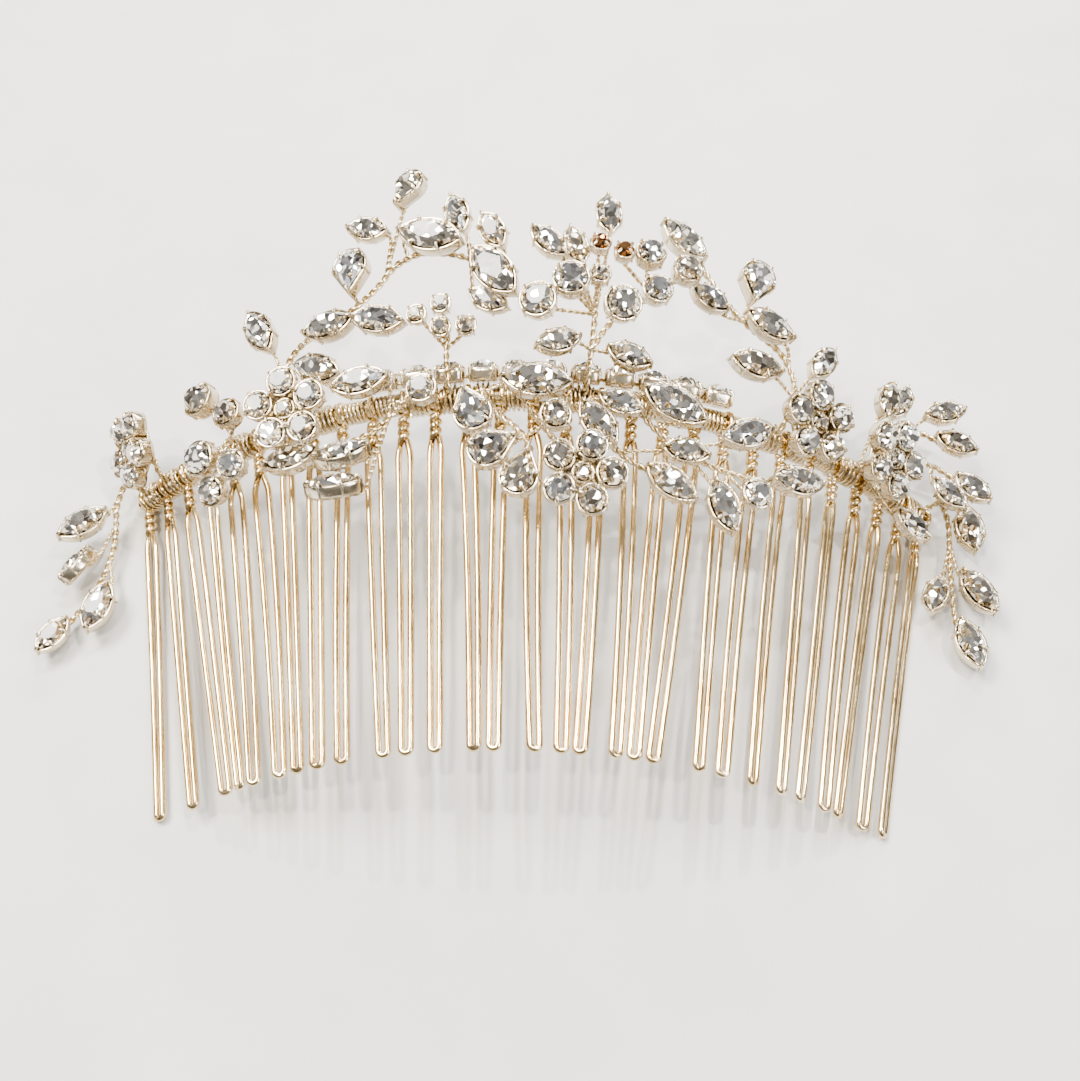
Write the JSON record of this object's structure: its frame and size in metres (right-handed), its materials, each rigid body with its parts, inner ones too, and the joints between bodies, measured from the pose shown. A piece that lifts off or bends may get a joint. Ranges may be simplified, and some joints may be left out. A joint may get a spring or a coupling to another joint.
{
  "type": "hair comb",
  "caption": "Bridal hair comb: a bowed row of twisted wire teeth on a wound spine, carrying raised sprays of cup-set crystals, flowers and leaves.",
  "frame": {"origin": "centre of the whole comb, on the surface that it lies on", "axes": "+X along the row of teeth, -Y towards the tooth tips, +Z out of the decorated face; the comb lies at rest on its end teeth and on the ends of its spine"},
  "size_m": [0.1172, 0.07, 0.0335],
  "materials": {
    "comb_wire": "polished pale champagne-gold plated wire, lightly worn",
    "binding_wire": "bright fine plated wire, closely wound",
    "setting_metal": "plated cast cups and soldered wire, semi-polished",
    "crystal": "clear cut crystal with a foiled back"
  },
  "bodies": {
    "root": {"tooth_01": "comb_wire", "tooth_02": "comb_wire", "tooth_03": "comb_wire", "tooth_04": "comb_wire", "tooth_05": "comb_wire", "tooth_06": "comb_wire", "tooth_07": "comb_wire", "tooth_08": "comb_wire", "tooth_09": "comb_wire", "tooth_10": "comb_wire", "tooth_11": "comb_wire", "tooth_12": "comb_wire", "tooth_13": "comb_wire", "tooth_14": "comb_wire", "tooth_15": "comb_wire", "tooth_16": "comb_wire", "tooth_17": "comb_wire", "tooth_18": "comb_wire", "tooth_19": "comb_wire", "tooth_20": "comb_wire", "tooth_21": "comb_wire", "tooth_22": "comb_wire", "tooth_23": "comb_wire", "tooth_24": "comb_wire", "tooth_25": "comb_wire", "tooth_26": "comb_wire", "tooth_27": "comb_wire", "tooth_28": "comb_wire", "tooth_29": "comb_wire", "spine": "comb_wire", "binding": "binding_wire", "centre_flower_crystals": "crystal", "centre_flower_frame": "setting_metal", "centre_spray_crystals": "crystal", "centre_spray_frame": "setting_metal", "centre_vine_crystals": "crystal", "centre_vine_frame": "setting_metal", "cup_chain_crystals": "crystal", "cup_chain_frame": "setting_metal", "left_arch_crystals": "crystal", "left_arch_frame": "setting_metal", "left_drop_crystals": "crystal", "left_drop_frame": "setting_metal", "left_flowers_crystals": "crystal", "left_flowers_frame": "setting_metal", "left_vine_crystals": "crystal", "left_vine_frame": "setting_metal", "middle_flowers_crystals": "crystal", "middle_flowers_frame": "setting_metal", "right_arch_crystals": "crystal", "right_arch_frame": "setting_metal", "right_drop_crystals": "crystal", "right_drop_frame": "setting_metal", "right_end_crystals": "crystal", "right_end_frame": "setting_metal", "right_flowers_crystals": "crystal", "right_flowers_frame": "setting_metal", "right_vine_crystals": "crystal", "right_vine_frame": "setting_metal"}
  },
  "joints": []
}
